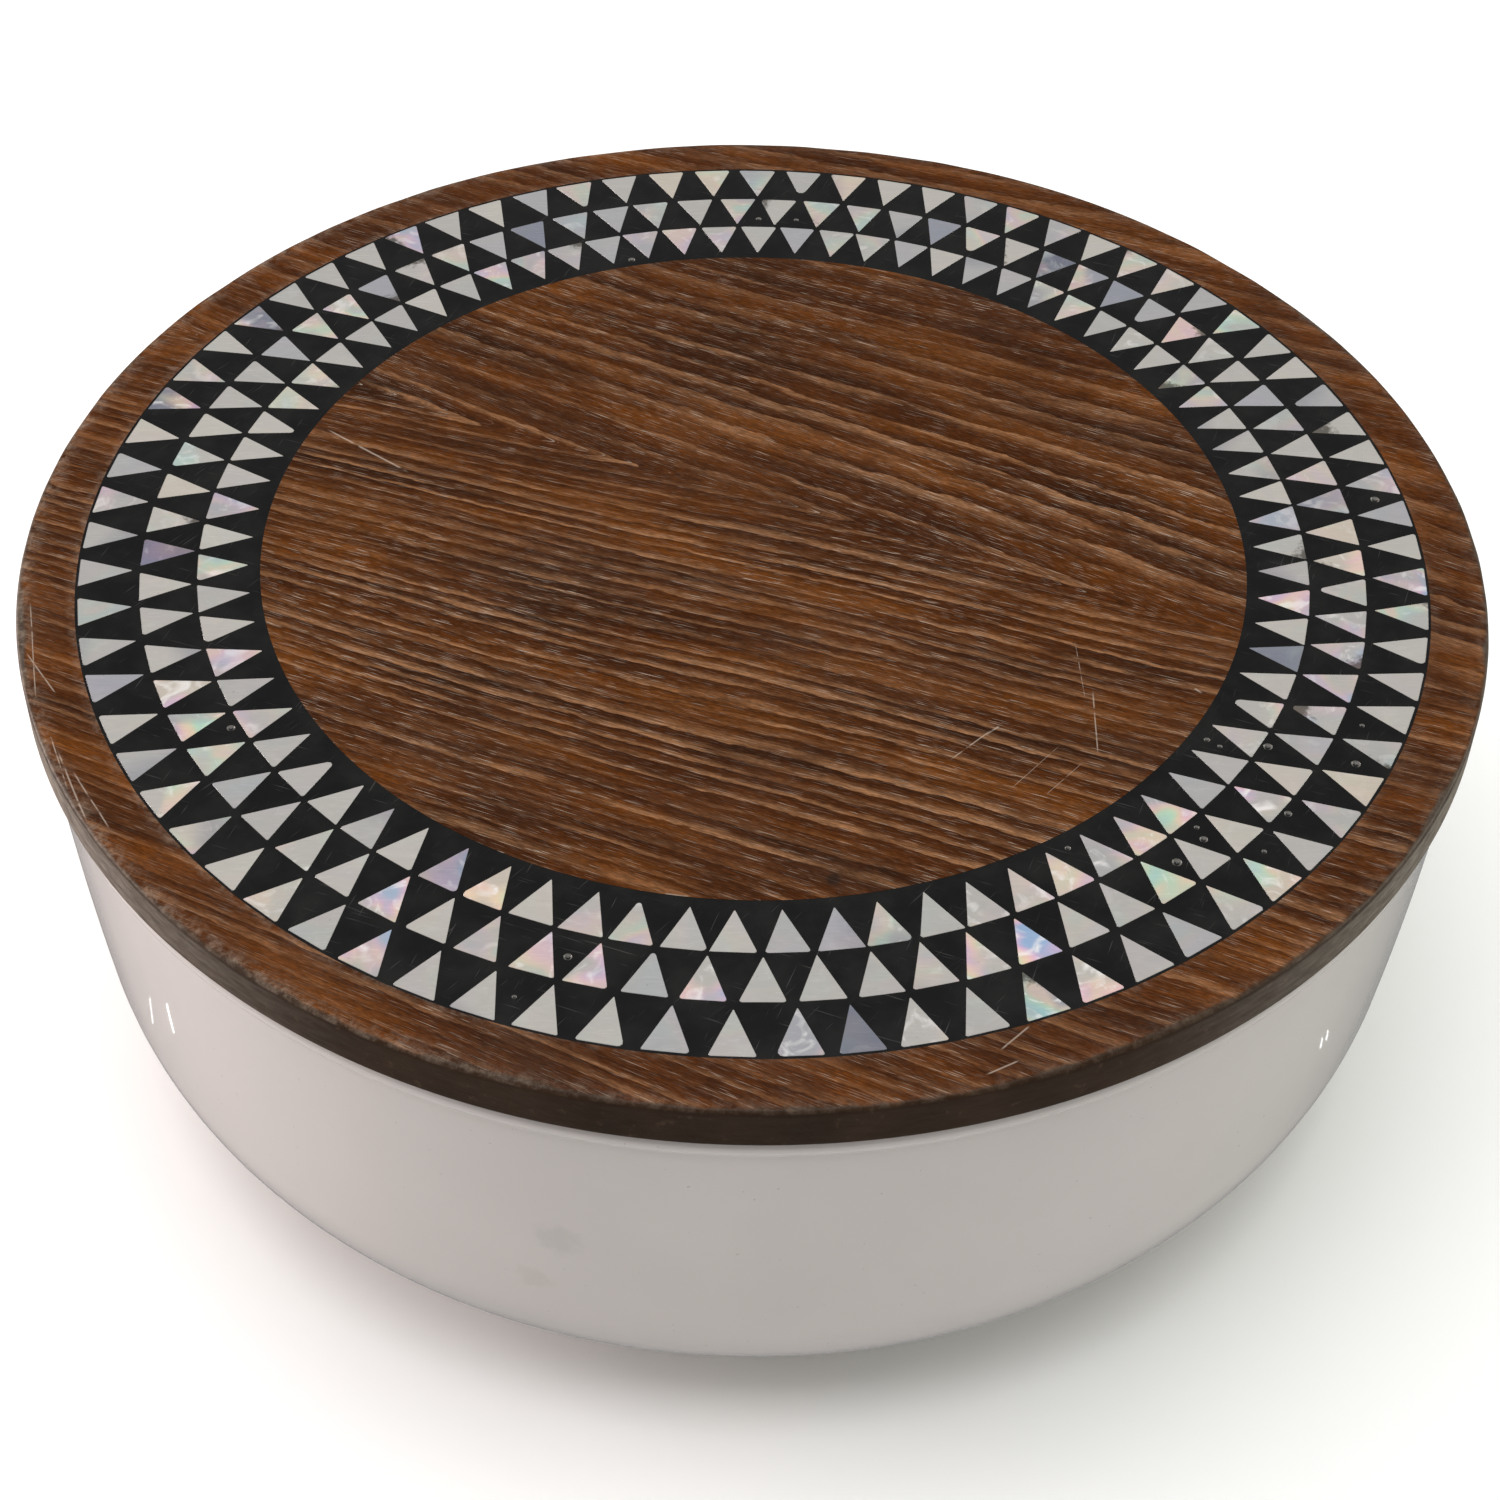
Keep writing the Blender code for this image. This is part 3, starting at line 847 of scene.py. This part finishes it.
def add_triangle(bm, layers, draw, start, end, row):
    """A loose triangle, set nearly flush with the wood, between two angles of its row."""
    tip, foot, turn = row
    angle = start + (end - start) * turn + draw.gauss(0, 0.022) * (end - start)
    outline, height = triangle_outline(draw, (end - start) * foot, tip, foot)
    centre = sum(outline, Vector((0.0, 0.0))) / len(outline)
    turned = Matrix.Rotation(angle, 2)
    tilt = Vector((draw.gauss(0, 0.0022), draw.gauss(0, 0.0022)))
    tone = draw.random()
    lustre = 0.06 + 0.94 * max(0.0, (draw.random() - 0.50) / 0.50) ** 0.9
    lustre *= 0.72 - 0.28 * math.sin(angle)  # duller at the back of the lid
    shift = Vector((draw.uniform(-1, 1), draw.uniform(-1, 1), draw.uniform(-1, 1)))
    ways = [Matrix.Rotation(draw.uniform(0, 2 * math.pi), 2) @ Vector((1.0, 0.0)) for _ in range(2)]
    fade_start = draw.uniform(-0.3, 0.5) if draw.random() < FADED_SHARE else NEVER_FADED
    smoke_start = draw.uniform(-0.65, -0.25) if draw.random() < SMOKY_SHARE else NEVER_SMOKY

    def loop(bevels_in, drop, on_rim):
        made = []
        for point in outline:
            point = point + (centre - point).normalized() * bevels_in * TRIANGLE_BEVEL
            from_centre = point - centre
            flat = turned @ point
            lift = 0.0 if drop > TRIANGLE_BEVEL else tilt.dot(from_centre)
            vert = bm.verts.new((flat.x, flat.y, LID_TOP - drop + min(lift, 0.0)))
            vert[layers["piece_tone"]] = tone
            vert[layers["piece_lustre"]] = lustre
            vert[layers["piece_rim"]] = on_rim
            vert[layers["piece_fade"]] = fade_start + ways[0].dot(from_centre) / (0.5 * height)
            vert[layers["piece_smoke"]] = smoke_start + ways[1].dot(from_centre) / (0.5 * height)
            vert[layers["piece_shift"]] = shift
            made.append(vert)
        return made

    loops = [
        loop(0, TRIANGLE_DEPTH, 1.0),
        loop(0, TRIANGLE_BEVEL, 1.0),
        loop(1, 0.0, 0.55),
        loop(3, 0.0, 0.0),
    ]
    for below, above in zip(loops, loops[1:]):
        for k in range(len(outline)):
            after = (k + 1) % len(outline)
            bm.faces.new((below[k], below[after], above[after], above[k]))
    bm.faces.new(loops[-1])
    bm.faces.new(list(reversed(loops[0])))


def make_shell_row(name, draw):
    """One row of triangles, each with its own values for shell_look."""
    tip, foot, turn = ROWS[name]
    row = (tip * LID_RADIUS, foot * LID_RADIUS, turn)
    angles = triangle_angles()
    bm = bmesh.new()
    layers = {}
    for key in ("piece_tone", "piece_lustre", "piece_rim", "piece_fade", "piece_smoke"):
        layers[key] = bm.verts.layers.float.new(key)
    layers["piece_shift"] = bm.verts.layers.float_vector.new("piece_shift")
    for start, end in zip(angles, angles[1:]):
        add_triangle(bm, layers, draw, start, end, row)
    bmesh.ops.recalc_face_normals(bm, faces=bm.faces)
    return add(name + "_triangles", smooth(mesh_of(bm, name)))


def make_bubbles(draw, top):
    """Spheres that cut into the resin's top, in the gaps between triangles and clear of each other."""
    bm = bmesh.new()
    angles = triangle_angles()
    centres = []
    while len(centres) < BUBBLES:
        tip, foot, turn = ROWS[draw.choice(list(ROWS))]
        bubbly = draw.random() < BUBBLY_SHARE
        gap = draw.randrange(*BUBBLY_GAPS) if bubbly else draw.randrange(TRIANGLES_PER_ROW)
        angle = angles[gap] + (angles[gap + 1] - angles[gap]) * (turn + draw.uniform(0.40, 0.60))
        r = (tip + draw.uniform(0.0, 0.5) * (foot - tip)) * LID_RADIUS
        size = draw.uniform(0.25, 0.62) * MM
        centre = Vector((r * math.cos(angle), r * math.sin(angle), top + BUBBLE_RISE * size))
        if any((centre - other).length < BUBBLE_SPACING for other in centres):
            continue
        centres.append(centre)
        where = Matrix.Translation(centre)
        bmesh.ops.create_uvsphere(bm, u_segments=20, v_segments=12, radius=size, matrix=where)
    return add("bubbles", mesh_of(bm, "bubbles"))


def make_resin(draw):
    """The black ring that the shell is set in, with a few burst air bubbles in its top."""
    high, low = LID_TOP - RESIN_DROP, LID_TOP - RESIN_DEPTH
    section = [(CHANNEL_INNER, low), (CHANNEL_INNER, high), (CHANNEL_OUTER, high), (CHANNEL_OUTER, low)]
    obj = lathe("inlay_bed_resin", section + section[:1], LID_STEPS)
    bubbles = make_bubbles(draw, high)
    cut = obj.modifiers.new("Bubbles", "BOOLEAN")
    cut.operation = "DIFFERENCE"
    cut.object = bubbles
    graph = bpy.context.evaluated_depsgraph_get()
    finished = bpy.data.meshes.new_from_object(obj.evaluated_get(graph), depsgraph=graph)
    obj.modifiers.clear()
    obj.data = smooth(finished)
    bpy.data.objects.remove(bubbles)
    return obj


# ---------------------------------------------------------------- stage

CAMERA_DISTANCE = 3.9174 * LID_RADIUS  # from the middle of the lid's top
CAMERA_ELEVATION = math.radians(40.127)
CAMERA_PITCH = math.radians(44.385)
CAMERA_ROLL = math.radians(1.159)
CAMERA_LENS = 67.96  # mm, on a 36 mm sensor

FLOOR_REACH = 4.0
WORLD_COLOUR, WORLD_STRENGTH = (0.98, 0.99, 1.0, 1.0), 0.24
OVERHEAD_PLACE, OVERHEAD_AIM = (-0.1, -0.05, 1.3), (-0.1, -0.05, 0.0)
WINDOWS_AIM = (0.0, 0.0, 0.03)
WHITE = (1.0, 1.0, 1.0)
LIGHTS = (  # name, place, aim, size, power and colour
    ("overhead", OVERHEAD_PLACE, OVERHEAD_AIM, (1.3, 1.15), 17.6, WHITE),
    ("left_window", (-0.87, 0.25, 0.16), WINDOWS_AIM, (0.5, 0.25), 9.5, (1.0, 0.88, 0.86)),
    ("right_window", (0.93, 0.16, 0.20), WINDOWS_AIM, (0.5, 0.3), 3.8, (0.94, 1.0, 0.88)),
)
GLINTS = (  # small lights seen only as reflections in the glaze: name, x, y, size, power and roll
    ("glint_left_near", -82.0 * MM, -36.0 * MM, (0.35 * MM, 4 * MM), 0.000025, 0.6),
    ("glint_left_far", -80.5 * MM, -30.0 * MM, (0.3 * MM, 4 * MM), 0.000012, 0.25),
    ("glint_right_near", 81.5 * MM, -35.2 * MM, (0.3 * MM, 1.5 * MM), 0.000007, -0.3),
    ("glint_right_far", 82.2 * MM, -33.6 * MM, (0.3 * MM, 1.5 * MM), 0.000007, -0.3),
)
GLINT_HEIGHT, GLINT_AIM_HEIGHT = 5 * MM, 36 * MM


def make_camera():
    data = bpy.data.cameras.new("camera")
    data.lens = CAMERA_LENS
    data.clip_start = 0.01
    camera = add("camera", data)
    back, up = math.cos(CAMERA_ELEVATION), math.sin(CAMERA_ELEVATION)
    tilted = Euler((math.pi / 2 - CAMERA_PITCH, 0.0, 0.0)).to_matrix()
    looking = tilted @ Matrix.Rotation(CAMERA_ROLL, 3, "Z")
    place_at = Matrix.Translation((0.0, -CAMERA_DISTANCE * back, LID_TOP + CAMERA_DISTANCE * up))
    camera.matrix_world = place_at @ looking.to_4x4()
    bpy.context.scene.camera = camera


def soft_light(name, place_at, aim, size, power, colour=WHITE, roll=0.0):
    data = bpy.data.lights.new(name, "AREA")
    data.shape = "RECTANGLE"
    data.size, data.size_y = size
    data.energy = power
    data.color = colour
    light = add(name, data)
    light.location = place_at
    facing = (Vector(aim) - Vector(place_at)).to_track_quat("-Z", "Y")
    light.rotation_euler = (facing @ Quaternion((0.0, 0.0, 1.0), roll)).to_euler()
    return light


def make_floor():
    bm = bmesh.new()
    bmesh.ops.create_grid(bm, x_segments=8, y_segments=8, size=FLOOR_REACH)
    floor = add("floor", mesh_of(bm, "floor"))
    look = Look("pale_floor")
    faint = look.mix(look.noise(look.position, 3.0, 3.0), srgb(246, 246, 245), srgb(250, 250, 249))
    floor.data.materials.append(look.finish(faint, 0.9))
    floor.visible_glossy = False  # the glaze would mirror it at the bowl's sides


def make_stage():
    make_floor()
    world = bpy.data.worlds.new("studio")
    world.use_nodes = True
    background = world.node_tree.nodes["Background"]
    background.inputs["Color"].default_value = WORLD_COLOUR
    background.inputs["Strength"].default_value = WORLD_STRENGTH
    bpy.context.scene.world = world
    bpy.context.scene.view_settings.view_transform = "Standard"

    for light in LIGHTS:
        soft_light(*light)
    for name, x, y, size, power, roll in GLINTS:
        aim = (0.8 * x, 0.8 * y, GLINT_AIM_HEIGHT)
        glint = soft_light(name, (x, y, GLINT_HEIGHT), aim, size, power, roll=roll)
        glint.visible_camera = glint.visible_diffuse = glint.visible_shadow = False


# ---------------------------------------------------------------- the object

draw = random.Random(SEED)
make_camera()
make_stage()
wood, dark_wood, resin, shell, glaze = board_look(), plug_look(), resin_look(), shell_look(), glaze_look()
place(make_bowl(), "bowl", "bowl", "white_glaze", glaze)
place(make_lid_board(), "lid_board", "lid", "brown_wood", wood)
place(make_lid_plug(), "lid_plug", "lid", "dark_wood", dark_wood)
place(make_resin(draw), "inlay_bed", "lid", "black_resin", resin)
for row in ROWS:
    place(make_shell_row(row, draw), row, "lid", "mother_of_pearl", shell)
